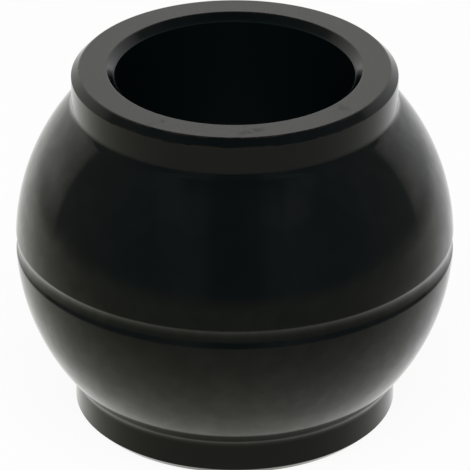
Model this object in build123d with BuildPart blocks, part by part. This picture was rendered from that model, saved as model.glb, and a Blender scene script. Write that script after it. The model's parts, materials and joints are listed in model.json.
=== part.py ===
import os
from math import sqrt

from build123d import *

# Driving dimensions in millimetres
ball_diameter = 52.9
face_width = 45.0
bore_diameter = 28.7
bore_chamfer = 0.95
collar_step = 6.95  # how far the ball stands out past each collar
collar_chamfer = 0.9
root_fillet = 1.6
groove_width = 2.3
groove_depth = 0.29

ball_radius = ball_diameter / 2
bore_radius = bore_diameter / 2
collar_diameter = ball_diameter - 2 * collar_step

# The lubrication groove is a shallow arc, turned with a round-nosed tool.
# Its two edges lie on the ball, so width and depth give the tool's radius.
groove_edge_radius = sqrt(ball_radius**2 - (groove_width / 2) ** 2)
groove_floor_radius = ball_radius - groove_depth
groove_sagitta = groove_edge_radius - groove_floor_radius
groove_nose_radius = ((groove_width / 2) ** 2 + groove_sagitta**2) / (2 * groove_sagitta)

# One turned piece: the section right of the pin's axis, revolved about that axis.
# The origin is the ball's centre, halfway between the two end faces.
with BuildPart() as hitch_ball:
    with BuildSketch(Plane.XZ) as half_section:
        # Ball with a straight collar on each side
        Circle(ball_radius)
        Rectangle(collar_diameter, face_width)

        # Keep what lies outside the bore and between the end faces
        with Locations((bore_radius, 0)):
            Rectangle(ball_radius, face_width, align=(Align.MIN, Align.CENTER), mode=Mode.INTERSECT)

        # Groove round the equator
        with Locations((groove_floor_radius + groove_nose_radius, 0)):
            Circle(groove_nose_radius, mode=Mode.SUBTRACT)

        # Fillets at the collar roots, the two inner corners on the collar's line
        collar_corners = half_section.vertices().group_by(Axis.X)[1]
        fillet(collar_corners.sort_by(Axis.Y)[1:3], radius=root_fillet)

        # Chamfers round each end face, outside on the collar and inside on the bore
        levels = half_section.vertices().group_by(Axis.Y)
        chamfer([levels[0].sort_by(Axis.X)[-1], levels[-1].sort_by(Axis.X)[-1]], length=collar_chamfer)
        levels = half_section.vertices().group_by(Axis.Y)
        chamfer([levels[0].sort_by(Axis.X)[0], levels[-1].sort_by(Axis.X)[0]], length=bore_chamfer)
    revolve(axis=Axis.Z)

hitch_ball.part.label = "hitch_ball"

os.makedirs("parts", exist_ok=True)
export_step(hitch_ball.part, "parts/hitch_ball.step")
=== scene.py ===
import json
import math

import bpy
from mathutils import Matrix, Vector


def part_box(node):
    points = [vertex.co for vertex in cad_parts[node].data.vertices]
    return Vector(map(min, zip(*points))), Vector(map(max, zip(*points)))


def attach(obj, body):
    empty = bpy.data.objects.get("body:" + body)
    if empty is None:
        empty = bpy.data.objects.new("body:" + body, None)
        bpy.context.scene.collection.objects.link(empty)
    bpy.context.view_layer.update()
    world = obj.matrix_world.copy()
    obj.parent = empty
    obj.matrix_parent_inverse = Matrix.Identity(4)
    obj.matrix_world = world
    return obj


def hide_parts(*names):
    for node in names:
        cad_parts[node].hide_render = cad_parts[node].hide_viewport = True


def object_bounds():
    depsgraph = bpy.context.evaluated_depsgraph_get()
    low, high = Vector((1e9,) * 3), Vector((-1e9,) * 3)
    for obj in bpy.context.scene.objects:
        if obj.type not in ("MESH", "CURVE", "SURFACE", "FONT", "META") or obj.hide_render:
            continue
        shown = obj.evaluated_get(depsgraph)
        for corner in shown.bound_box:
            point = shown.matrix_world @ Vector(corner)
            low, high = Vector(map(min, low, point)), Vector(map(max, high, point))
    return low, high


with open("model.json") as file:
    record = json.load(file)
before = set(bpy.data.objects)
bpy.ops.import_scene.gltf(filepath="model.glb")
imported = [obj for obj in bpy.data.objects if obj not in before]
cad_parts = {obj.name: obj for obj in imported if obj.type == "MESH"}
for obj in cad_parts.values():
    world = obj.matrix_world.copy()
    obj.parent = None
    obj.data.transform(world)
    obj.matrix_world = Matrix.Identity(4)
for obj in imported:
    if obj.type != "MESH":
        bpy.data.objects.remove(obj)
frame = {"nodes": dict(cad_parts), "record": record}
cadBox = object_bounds()
print("frame loaded:", ", ".join(sorted(frame["nodes"])))

mm = 0.001
photoSize = 470  # pixels each way
white = (1.0, 1.0, 1.0)
black = (0.0, 0.0, 0.0)


class Wire:
    # one output socket; maths on it adds Math nodes
    def __init__(self, graph, socket):
        self.graph = graph
        self.socket = socket

    def maths(self, operation, *values):
        return self.graph.add("ShaderNodeMath", {"operation": operation}, dict(enumerate(values)))

    def __add__(self, other):
        return self.maths("ADD", self, other)

    def __radd__(self, other):
        return self.maths("ADD", other, self)

    def __sub__(self, other):
        return self.maths("SUBTRACT", self, other)

    def __rsub__(self, other):
        return self.maths("SUBTRACT", other, self)

    def __mul__(self, other):
        return self.maths("MULTIPLY", self, other)

    def __rmul__(self, other):
        return self.maths("MULTIPLY", other, self)

    def __truediv__(self, other):
        return self.maths("DIVIDE", self, other)

    def __rtruediv__(self, other):
        return self.maths("DIVIDE", other, self)

    def __pow__(self, other):
        return self.maths("POWER", self, other)

    def __rpow__(self, other):
        return self.maths("POWER", other, self)

    def __abs__(self):
        return self.maths("ABSOLUTE", self)

    # the larger of two
    def __or__(self, other):
        return self.maths("MAXIMUM", self, other)

    # soft step from 0 at low to 1 at high
    def step(self, low, high):
        return self.graph.add("ShaderNodeMapRange", {"interpolation_type": "SMOOTHSTEP"},
                              {"Value": self, "From Min": low, "From Max": high})

    # up from 0 to 1 between the first two, down again between the last two
    def band(self, low, lowEnd, high, highEnd):
        return self.step(low, lowEnd) * (1 - self.step(high, highEnd))

    # another output of the same node
    def output(self, name):
        return Wire(self.graph, self.socket.node.outputs[name])


class Graph:
    def __init__(self, owner):
        owner.use_nodes = True
        self.tree = owner.node_tree
        self.tree.nodes.clear()

    # a node by its type, with its settings and then its sockets' values or links
    def add(self, kind, settings, sockets, out=0):
        node = self.tree.nodes.new(kind)
        for name, value in settings.items():
            if name == "stops":
                self.setStops(node.color_ramp, value)
            else:
                setattr(node, name, value)
        for key, value in sockets.items():
            if isinstance(value, Wire):
                self.tree.links.new(value.socket, node.inputs[key])
            else:
                node.inputs[key].default_value = value
        return Wire(self, node.outputs[out]) if node.outputs else None

    def setStops(self, ramp, stops):
        while len(ramp.elements) < len(stops):
            ramp.elements.new(1.0)
        for element, (position, colour) in zip(ramp.elements, stops):
            element.position = position
            element.color = (*colour, 1.0)

    # the second colour laid over the first
    def blend(self, factor, first, second, how="MIX"):
        first, second = (c if isinstance(c, Wire) else (*c, 1.0) for c in (first, second))
        return self.add("ShaderNodeMix", {"data_type": "RGBA", "blend_type": how},
                        {0: factor, 6: first, 7: second}, out=2)


# Camera, at the photo's angle and distance
cameraView = {
    "distance": 613.6,        # from the ball's centre, mm
    "elevation": 28.0,        # degrees
    "focalLength": 5070.5,    # in pixels of the photo
    "ballCentre": (234.76, 234.0),  # where the centre shows in the photo
    "sensorWidth": 36.0,      # mm
    "clipStart": 0.01,        # metres
}


def makeCamera(view):
    data = bpy.data.cameras.new("camera")
    data.sensor_width = view["sensorWidth"]
    data.lens = view["focalLength"] * view["sensorWidth"] / photoSize
    data.clip_start = view["clipStart"]
    data.shift_x = (photoSize / 2 - view["ballCentre"][0]) / photoSize
    data.shift_y = (view["ballCentre"][1] - photoSize / 2) / photoSize
    camera = bpy.data.objects.new("camera", data)
    tilt = math.radians(view["elevation"])
    camera.location = Vector((0, -math.cos(tilt), math.sin(tilt))) * view["distance"] * mm
    camera.rotation_euler = (math.pi / 2 - tilt, 0, 0)
    bpy.context.collection.objects.link(camera)
    bpy.context.scene.camera = camera


makeCamera(cameraView)
print("camera set")


# Ball, bored through, with a collar each side and a groove round the middle; mm
ballSizes = {
    "ballDiameter": 52.9,
    "collarStep": 6.95,     # how far the ball stands out past each collar
    "collarChamfer": 0.9,
    "boreChamfer": 0.95,
    "rootFillet": 1.6,
    "grooveWidth": 2.3,
    "grooveDepth": 0.29,
    # broken edges
    "edgeBreak": 0.04,      # outer edge of the collar's chamfer
    "faceBreak": 0.3,       # edges of the end faces, rubbed rounder
    "boreBreak": 0.28,
    "grooveBreak": 0.5,     # soft lips of the groove
    "innerBreak": 0.06,     # where the lead-in meets the bore
    # faces of the mesh, round the axis and along the section
    "around": 288,
    "grooveRings": 8,       # from its floor to one lip
    "ballRings": 44,        # from groove to collar
    "filletRings": 10,
    "wallRings": 3,
    "chamferRings": 2,
    "faceRings": 4,
    "boreRings": 6,         # from lead-in to the middle
    "breakRings": 4,
}


def boreRadius():
    bore = next(m for m in frame["record"]["mounts"] if m["name"] == "pin_bore")
    return bore["dims"]["r_mm"]


# the sizes, with the radii and heights that follow from them and from the frame
def sectionLengths(sizes):
    lengths = dict(sizes)
    lengths["top"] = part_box("hitch_ball")[1][2] / mm
    lengths["bore"] = boreRadius()
    lengths["ball"] = sizes["ballDiameter"] / 2
    lengths["collar"] = lengths["ball"] - sizes["collarStep"]
    lengths["root"] = math.sqrt(lengths["ball"] ** 2 - lengths["collar"] ** 2)
    return lengths


class Line:
    def __init__(self, start, end):
        self.start, self.end = Vector(start), Vector(end)
        self.length = (self.end - self.start).length

    def at(self, distance):
        return self.start.lerp(self.end, distance / self.length)

    # the same all along, so the distance isn't used
    def heading(self, distance):
        return (self.end - self.start).normalized()


class Arc:
    def __init__(self, centre, radius, first, last):
        self.centre, self.radius = Vector(centre), radius
        self.first, self.sweep = first, last - first
        self.length = abs(self.sweep) * radius

    def angle(self, distance):
        return self.first + self.sweep * distance / self.length

    def at(self, distance):
        turn = self.angle(distance)
        return self.centre + self.radius * Vector((math.cos(turn), math.sin(turn)))

    def heading(self, distance):
        turn = self.angle(distance)
        return Vector((-math.sin(turn), math.cos(turn))) * math.copysign(1.0, self.sweep)


# outward side of a section that runs up the outside, in over the face and down the bore
def outward(heading):
    return Vector((heading.y, -heading.x))


# points and outward sides along the runs, with a rounded corner of the given radius after each run
def sampleSection(runs):
    points = []
    trimStart = 0.0
    for index, (run, rings, corner, cornerRings) in enumerate(runs):
        trimEnd = 0.0
        if corner:
            following = runs[index + 1][0]
            bend = run.heading(run.length).angle(following.heading(0.0))
            trimEnd = corner * math.tan(bend / 2)
        span = run.length - trimStart - trimEnd
        for step in range(rings + 1):
            distance = trimStart + span * step / rings
            points.append((run.at(distance), outward(run.heading(distance))))
        trimStart = trimEnd
        if corner:
            tip = run.at(run.length)
            first, last = run.at(run.length - trimEnd), following.at(trimEnd)
            for step in range(1, cornerRings):
                t = step / cornerRings
                heading = (tip - first).lerp(last - tip, t).normalized()
                points.append((first.lerp(tip, t).lerp(tip.lerp(last, t), t), outward(heading)))
    return points


# from the groove's floor up over the ball, the collar and the end face, and down the bore to the middle
def upperSection(size):
    top, bore, ball, collar, root = (size[name] for name in ("top", "bore", "ball", "collar", "root"))
    outerCut, innerCut, breakRings = (size[name] for name in ("collarChamfer", "boreChamfer", "breakRings"))

    # the groove's width and depth give the radius of the tool's round nose
    half, grooveFloor = size["grooveWidth"] / 2, ball - size["grooveDepth"]
    sag = math.sqrt(ball ** 2 - half ** 2) - grooveFloor
    nose = (half ** 2 + sag ** 2) / (2 * sag)
    groove = Arc((grooveFloor + nose, 0), nose, math.pi, math.pi - math.asin(half / nose))
    sphere = Arc((0, 0), ball, math.asin(half / ball), math.atan2(root, collar))

    rim = [(collar, root), (collar, top - outerCut), (collar - outerCut, top),
           (bore + innerCut, top), (bore, top - innerCut), (bore, 0.0)]
    wall, bevel, face, leadIn, inside = (Line(*pair) for pair in zip(rim, rim[1:]))
    return sampleSection([
        (groove, size["grooveRings"], size["grooveBreak"], breakRings),
        (sphere, size["ballRings"], size["rootFillet"], size["filletRings"]),
        (wall, size["wallRings"], size["edgeBreak"], breakRings),
        (bevel, size["chamferRings"], size["faceBreak"], breakRings),
        (face, size["faceRings"], size["boreBreak"], breakRings),
        (leadIn, size["chamferRings"], size["innerBreak"], breakRings),
        (inside, size["boreRings"], 0.0, 0),
    ])


# turns a closed section about the axis; shading normals are the section's own
def turnOnLathe(name, section, around):
    verts, normals, faces = [], [], []
    count = len(section)
    for step in range(around):
        turn = 2 * math.pi * step / around
        c, s = math.cos(turn), math.sin(turn)
        for place, normal in section:
            verts.append((place.x * c * mm, place.x * s * mm, place.y * mm))
            normals.append((normal.x * c, normal.x * s, normal.y))
    for step in range(around):
        here, there = step * count, (step + 1) % around * count
        for ring in range(count):
            nextRing = (ring + 1) % count
            faces.append((here + ring, there + ring, there + nextRing, here + nextRing))
    mesh = bpy.data.meshes.new(name)
    mesh.from_pydata(verts, [], faces)
    mesh.polygons.foreach_set("use_smooth", [True] * len(faces))
    mesh.normals_split_custom_set_from_vertices(normals)
    mesh.update()
    piece = bpy.data.objects.new(name, mesh)
    bpy.context.collection.objects.link(piece)
    return piece


def makeBall(size):
    upper = upperSection(size)
    # the lower half is the upper one mirrored, run back from bore to groove
    lower = [(Vector((p.x, -p.y)), Vector((n.x, -n.y))) for p, n in reversed(upper)]
    piece = turnOnLathe("hitchBall", upper + lower[1:-1], size["around"])
    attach(piece, "root")
    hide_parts("hitch_ball")
    return piece


lengths = sectionLengths(ballSizes)
hitchBall = makeBall(lengths)
print("ball turned:", len(hitchBall.data.vertices), "points")


# Black oxide on turned steel, lightly oiled; lengths in mm, scales per metre
# "Patches" are the noise levels at which a patch starts and is full
blackFinish = {
    "colour": (0.0012, 0.0024, 0.0027),
    "cloudColour": (0.0018, 0.0030, 0.0032),
    "cloudPatches": (0.35, 0.75),
    "collarColour": (0.0034, 0.0036, 0.0054),
    "faceColour": (0.0004, 0.0003, 0.0002),
    # the bore's colour is the black oxide made lighter: painted light in the shaded bore
    "boreColour": (0.0022, 0.0048, 0.0055),
    # where the zones fade in
    "faceFade": (0.12, 0.02),    # below the end face
    "boreFade": (0.02, 0.3),     # out from the bore
    "collarFade": (0.1, 0.6),    # past the root
    "wallFade": 0.1,             # before the chamfer
    # gloss
    "ior": 1.475,
    "ballRoughness": 0.09,
    "collarRoughness": 0.13,
    "faceRoughness": 0.22,
    "boreRoughness": 0.30,
    # oil
    "collarFilm": 0.25,          # left on the collars
    "ballFilm": 0.16,            # and in patches on the ball
    "filmScale": 420.0,
    "filmPatches": (0.4, 0.66),
    "filmRoughness": 0.12,
    "smear": 0.05,               # change of roughness where the oil has been wiped
    "smearScale": 70.0,
    # thin places on the edges of the collar's chamfer
    "wear": 0.4,
    "wearColour": (0.0240, 0.0175, 0.0120),
    "wearScale": 420.0,
    "wearPatches": (0.42, 0.62),
    "edgeReach": (0.05, 0.16),
    "rimReach": (0.05, 0.2),
    # marks of the turning tool
    "markScale": 2600.0,
    "markDepth": 0.0012,
    "endMarks": 3.0,             # how much deeper they are past the collar's wall
    # specks on the end faces
    "grainColour": (0.0230, 0.0202, 0.0180),
    "grainScale": 5200.0,
    "grainPatches": (0.4, 0.72),
    # hairlines on the end faces: degrees, and how rare they are
    "scratches": [(35.0, 0.66), (-50.0, 0.69), (80.0, 0.70)],
    "scratchFade": 0.06,
    "scratchLength": 4.0,
    "scratchWidth": 0.16,
    "scratchLayer": 0.3,         # change of their pattern with height
    "scratchLight": 0.030,
    "scratchShow": 0.35,         # share of them outside the rubbed places
    # rubbed places on the upper face: centre, half length, half width, then degrees
    "rubs": [(1.8, -16.9, 2.4, 0.9, 20.0), (12.6, -10.9, 1.5, 1.0, -40.0),
             (-9.0, -14.6, 2.2, 0.6, 30.0)],
    "rubFade": (0.1, 1.0),       # square of the way from an oval's centre to its edge
    "rubScale": 900.0,
    "rubPatches": (0.3, 0.65),
    "rubRoughness": 0.20,
    "rubColour": (0.0020, 0.0024, 0.0032),
    # nicks in the edges: centre and reach
    "nicks": [(0.4, -18.85, 22.3, 0.45), (-18.55, -0.6, 22.45, 0.3), (15.2, 11.6, 22.3, 0.25)],
    "nickDepth": 0.05,
}


def makeBlackFinish(finish, size):
    material = bpy.data.materials.new("blackOxide")
    graph = Graph(material)
    place = graph.add("ShaderNodeTexCoord", {}, {}, out="Object")
    axes = graph.add("ShaderNodeSeparateXYZ", {}, {"Vector": place})
    x, y, z = (axes.output(axis) / mm for axis in "XYZ")
    radius = (x * x + y * y) ** 0.5
    height = abs(z)

    # zones: end faces, bore, collars with their straight wall; the rest is the ball
    top, wallEnd = size["top"], size["top"] - size["collarChamfer"]
    face = height.step(*(top - below for below in finish["faceFade"]))
    bore = 1 - radius.step(*(size["bore"] + out for out in finish["boreFade"]))
    collar = height.step(*(size["root"] + past for past in finish["collarFade"]))
    wall = collar * (1 - height.step(wallEnd - finish["wallFade"], wallEnd)) * (1 - bore)

    noiseMiddle = 0.5  # the level that noise varies about

    def noise(scale, detail=2.0, rough=0.55):
        return graph.add("ShaderNodeTexNoise", {}, {
            "Vector": place, "Scale": scale, "Detail": detail, "Roughness": rough, "Distortion": 0.3})

    def along(degrees):
        turn = math.radians(degrees)
        return x * math.cos(turn) + y * math.sin(turn)

    # oval that fades out from its centre
    def rub(centreX, centreY, halfLength, halfWidth, degrees):
        centre = Vector((centreX, centreY))
        turn = math.radians(degrees)
        lengthways = Vector((math.cos(turn), math.sin(turn)))
        u = (along(degrees) - centre.dot(lengthways)) / halfLength
        v = (along(degrees + 90) - centre.dot(lengthways.orthogonal())) / halfWidth
        return 1 - (u * u + v * v).step(*finish["rubFade"])

    # hairlines that run one way
    def hairlines(degrees, rarity):
        stretched = graph.add("ShaderNodeCombineXYZ", {}, {
            "X": along(degrees) / finish["scratchLength"],
            "Y": along(degrees + 90) / finish["scratchWidth"],
            "Z": height * finish["scratchLayer"]})
        streaks = graph.add("ShaderNodeTexNoise", {}, {"Vector": stretched, "Scale": 1.0, "Detail": 1.0})
        return streaks.step(rarity, rarity + finish["scratchFade"])

    smear = noise(finish["smearScale"], detail=4.0)
    clouds = smear.step(*finish["cloudPatches"])
    film = noise(finish["filmScale"], detail=4.0, rough=0.65).step(*finish["filmPatches"])
    grain = noise(finish["grainScale"]).step(*finish["grainPatches"])
    upper = z.step(0.0, 1.0)  # not on the lower face
    rubbed = sum(rub(*oval) for oval in finish["rubs"])
    rubbed = rubbed * face * upper * noise(finish["rubScale"]).step(*finish["rubPatches"])
    scratched = sum(hairlines(*lines) for lines in finish["scratches"])
    scratched = scratched * face * (finish["scratchShow"] + rubbed)

    # each zone's own, then wiped oil and rubbed places
    base = finish["ballRoughness"]
    roughness = base + (finish["collarRoughness"] - base) * collar
    roughness = roughness + (finish["faceRoughness"] - roughness) * face
    roughness = roughness + (finish["boreRoughness"] - roughness) * bore
    roughness = roughness + (smear - noiseMiddle) * finish["smear"] + rubbed * finish["rubRoughness"]

    # the edges of the chamfers wear first
    faceEnd = size["collar"] - size["collarChamfer"]
    edge = 1 - (abs(height - wallEnd) | abs(radius - size["collar"])).step(*finish["edgeReach"])
    rim = 1 - (abs(height - top) | abs(radius - faceEnd)).step(*finish["rimReach"])
    thin = noise(finish["wearScale"], detail=3.0).step(*finish["wearPatches"])
    worn = (edge | rim) * thin * finish["wear"]

    colour = graph.blend(clouds, finish["colour"], finish["cloudColour"])
    colour = graph.blend(wall, colour, finish["collarColour"])
    speckled = graph.blend(grain, finish["faceColour"], finish["grainColour"])
    colour = graph.blend(face, colour, speckled)
    colour = graph.blend(rubbed, colour, finish["rubColour"])
    # painted light: the shaded bore gets a lighter colour than the ball
    colour = graph.blend(bore, colour, finish["boreColour"])
    colour = graph.blend(worn, colour, finish["wearColour"])
    colour = graph.blend(scratched, colour, [finish["scratchLight"]] * 3, how="ADD")

    # the tool's marks run round the axis, and step along the section
    section = z + (radius - z) * face
    marks = graph.add("ShaderNodeTexNoise", {"noise_dimensions": "1D"}, {
        "W": section * mm, "Scale": finish["markScale"], "Detail": 2.0})
    relief = marks * finish["markDepth"] * (1 + finish["endMarks"] * (collar - wall))
    for centreX, centreY, centreZ, reach in finish["nicks"]:
        away = ((x - centreX) ** 2 + (y - centreY) ** 2 + (z - centreZ) ** 2) ** 0.5
        relief = relief - (1 - away.step(0.0, reach)) * finish["nickDepth"]
    normal = graph.add("ShaderNodeBump", {}, {"Height": relief * mm, "Distance": 1.0, "Strength": 1.0})

    shader = graph.add("ShaderNodeBsdfPrincipled", {}, {
        "Base Color": colour, "Roughness": roughness, "IOR": finish["ior"], "Normal": normal,
        "Coat Weight": wall * finish["collarFilm"] + film * (1 - collar) * finish["ballFilm"],
        "Coat Roughness": finish["filmRoughness"]})
    graph.add("ShaderNodeOutputMaterial", {}, {"Surface": shader})
    return material


hitchBall.data.materials.append(makeBlackFinish(blackFinish, lengths))
print("black finish made")


# Pale floor under the ball
paleFloor = {
    "half": 3.0,             # metres
    "colour": (0.86, 0.86, 0.86),
    "glow": 0.94,            # share of plain white that the camera sees
    "gap": 0.02,             # mm below the end face, so that the two don't share a plane
}


def makeFloor(floor):
    half, level = floor["half"], cadBox[0][2] - floor["gap"] * mm
    corners = [(-half, -half, level), (half, -half, level), (half, half, level), (-half, half, level)]
    mesh = bpy.data.meshes.new("floor")
    mesh.from_pydata(corners, [], [(0, 1, 2, 3)])
    plane = bpy.data.objects.new("floor", mesh)
    bpy.context.collection.objects.link(plane)
    plane.visible_glossy = False  # the studio's table is what the ball mirrors
    material = bpy.data.materials.new("paleFloor")
    graph = Graph(material)
    toCamera = graph.add("ShaderNodeLightPath", {}, {}, out="Is Camera Ray")
    matt = graph.add("ShaderNodeBsdfDiffuse", {}, {"Color": (*floor["colour"], 1.0)})
    glow = graph.add("ShaderNodeEmission", {}, {"Color": (*white, 1.0)})
    upper = graph.add("ShaderNodeMixShader", {}, {0: toCamera * floor["glow"], 1: matt, 2: glow})
    # clear from below, so that the lower end face can be looked at
    below = graph.add("ShaderNodeNewGeometry", {}, {}, out="Backfacing")
    clear = graph.add("ShaderNodeBsdfTransparent", {}, {})
    shader = graph.add("ShaderNodeMixShader", {}, {0: below, 1: upper, 2: clear})
    graph.add("ShaderNodeOutputMaterial", {}, {"Surface": shader})
    mesh.materials.append(material)


# Soft studio: white behind the ball, darker walls to the sides and front, a pale table below
# A direction's x, y and z run from -1 to 1: left to right, front to back, down to up
studio = {
    # level of the walls by the cosine of the turn away from straight behind the ball
    "walls": [(-1.0, 0.09), (-0.9, 0.125), (-0.65, 0.10), (0.0, 0.14), (0.31, 0.14), (0.35, 0.35),
              (0.55, 0.62), (1.0, 0.96)],
    "lean": 0.025,                # the left wall is a little lighter than the right
    "poleGuard": 0.0001,          # keeps straight up and down from dividing by nothing
    # level of the table by a measure that grows to the back and straight down, and falls to the sides
    "table": [(-0.9, 0.165), (-0.6, 0.20), (-0.2, 0.315), (0.24, 0.505), (0.65, 0.68), (0.8, 0.77),
              (1.0, 0.85)],
    "downward": 0.6,
    "sideways": 0.6,
    # level of the sweep where the table rises behind, by the same cosine as the walls
    "sweep": [(-1.0, 0.175), (-0.2, 0.23), (0.05, 0.30), (0.3, 0.425), (0.55, 0.635), (0.63, 0.74),
              (0.89, 0.98), (1.0, 1.0)],
    "reach": 1.25,                # those cosines and measures lie between minus and plus this
    # heights, z, between which one turns to the next
    "sweepFoot": (-0.9, -0.68),   # table to sweep
    "tableEdge": (-0.25, -0.06),  # table to wall
    "ceiling": (0.64, 0.88),      # wall to the dark overhead
    "ceilingLevel": 0.06,
    # darker where the side walls stand on the table: depth, heights, cosines
    "seam": 0.36,
    "seamHeights": (-0.26, -0.13, -0.13, 0.02),
    "seamTurns": (0.2, 0.4, 0.55, 0.85),
    # two dim panels high up at the front, one each side: reach sideways, foot, level
    "panelSides": (0.39, 0.49, 0.60, 0.70),
    "panelFoot": (0.42, 0.54),
    "panelLevel": (0.052, 0.042, 0.040),
    "gapSides": (0.19, 0.29),     # the front wall is darker in the gap between the panels
    "gapDepth": 0.27,
    "frontEnd": (-0.35, -0.15),   # y between which the front wall ends
    # tints by level
    "wallTint": [(0.105, (0.83, 1.0, 0.97)), (0.14, (1.0, 1.0, 0.92)), (0.3, (1.0, 1.0, 0.84)),
                 (1.0, (1.0, 1.0, 0.98))],
    "tableTint": [(0.165, (1.01, 1.0, 0.74)), (0.5, (1.01, 1.0, 0.86)), (1.0, (1.0, 1.0, 0.97))],
    "rightTint": (1.0, 1.0, 1.08),    # cooler on the right
    "rightSide": (0.0, 0.7),
    "lampPlace": (0.0, -0.45, 0.75),  # metres
    "lampSize": 0.7,
    "lampPower": 7.0,
}


# a level as a colour, with the tint read between the two stops on either side of it
def tinted(level, tints):
    for (low, first), (high, second) in zip(tints, tints[1:]):
        if level <= high:
            share = max(0.0, (level - low) / (high - low))
            return tuple(level * (a + (b - a) * share) for a, b in zip(first, second))


def makeStudio(light):
    world = bpy.data.worlds.new("studio")
    bpy.context.scene.world = world
    graph = Graph(world)
    direction = graph.add("ShaderNodeTexCoord", {}, {}, out="Generated")
    axes = graph.add("ShaderNodeSeparateXYZ", {}, {"Vector": direction})
    x, y, z = (axes.output(axis) for axis in "XYZ")
    reach = light["reach"]

    def levels(value, stops, tints):
        ramp = [((place + reach) / (2 * reach), tinted(level, tints)) for place, level in stops]
        return graph.add("ShaderNodeValToRGB", {"stops": ramp}, {"Fac": (value + reach) / (2 * reach)})

    # table, with the sweep behind it
    behind = y / (x * x + y * y + light["poleGuard"]) ** 0.5
    leaning = behind - x * light["lean"]
    measure = y - z * light["downward"] - x * x * light["sideways"]
    table = levels(measure, light["table"], light["tableTint"])
    sweep = levels(leaning, light["sweep"], light["tableTint"])
    table = graph.blend(z.step(*light["sweepFoot"]), table, sweep, how="LIGHTEN")

    # walls, dark overhead and in the gap at the front
    walls = levels(leaning, light["walls"], light["wallTint"])
    overhead = tinted(light["ceilingLevel"], light["wallTint"])
    walls = graph.blend(z.step(*light["ceiling"]), walls, overhead)
    front = 1 - y.step(*light["frontEnd"])
    gap = front * (1 - abs(x).step(*light["gapSides"]))
    walls = graph.blend(gap * light["gapDepth"], walls, black)

    # the two together, with the seam between them, the panels and the cooler right side
    room = graph.blend(z.step(*light["tableEdge"]), table, walls)
    seam = z.band(*light["seamHeights"]) * behind.band(*light["seamTurns"])
    room = graph.blend(seam * light["seam"], room, black)
    panels = abs(x).band(*light["panelSides"]) * z.step(*light["panelFoot"]) * front
    room = graph.blend(panels, room, light["panelLevel"], how="ADD")
    sides = graph.blend(x.step(*light["rightSide"]), white, light["rightTint"])
    room = graph.blend(1.0, room, sides, how="MULTIPLY")

    # plain white for the camera
    toCamera = graph.add("ShaderNodeLightPath", {}, {}, out="Is Camera Ray")
    sky = graph.add("ShaderNodeBackground", {}, {"Color": graph.blend(toCamera, room, white)})
    graph.add("ShaderNodeOutputWorld", {}, {"Surface": sky})


def makeLamp(light):
    lamp = bpy.data.lights.new("softLamp", "AREA")
    lamp.shape, lamp.size, lamp.energy = "DISK", light["lampSize"], light["lampPower"]
    softLamp = bpy.data.objects.new("softLamp", lamp)
    softLamp.location = light["lampPlace"]
    softLamp.rotation_euler = Vector(light["lampPlace"]).to_track_quat("Z", "Y").to_euler()
    softLamp.visible_glossy = False
    bpy.context.collection.objects.link(softLamp)


makeFloor(paleFloor)
makeStudio(studio)
makeLamp(studio)
bpy.context.scene.view_settings.view_transform = "Standard"
print("floor and studio light set")
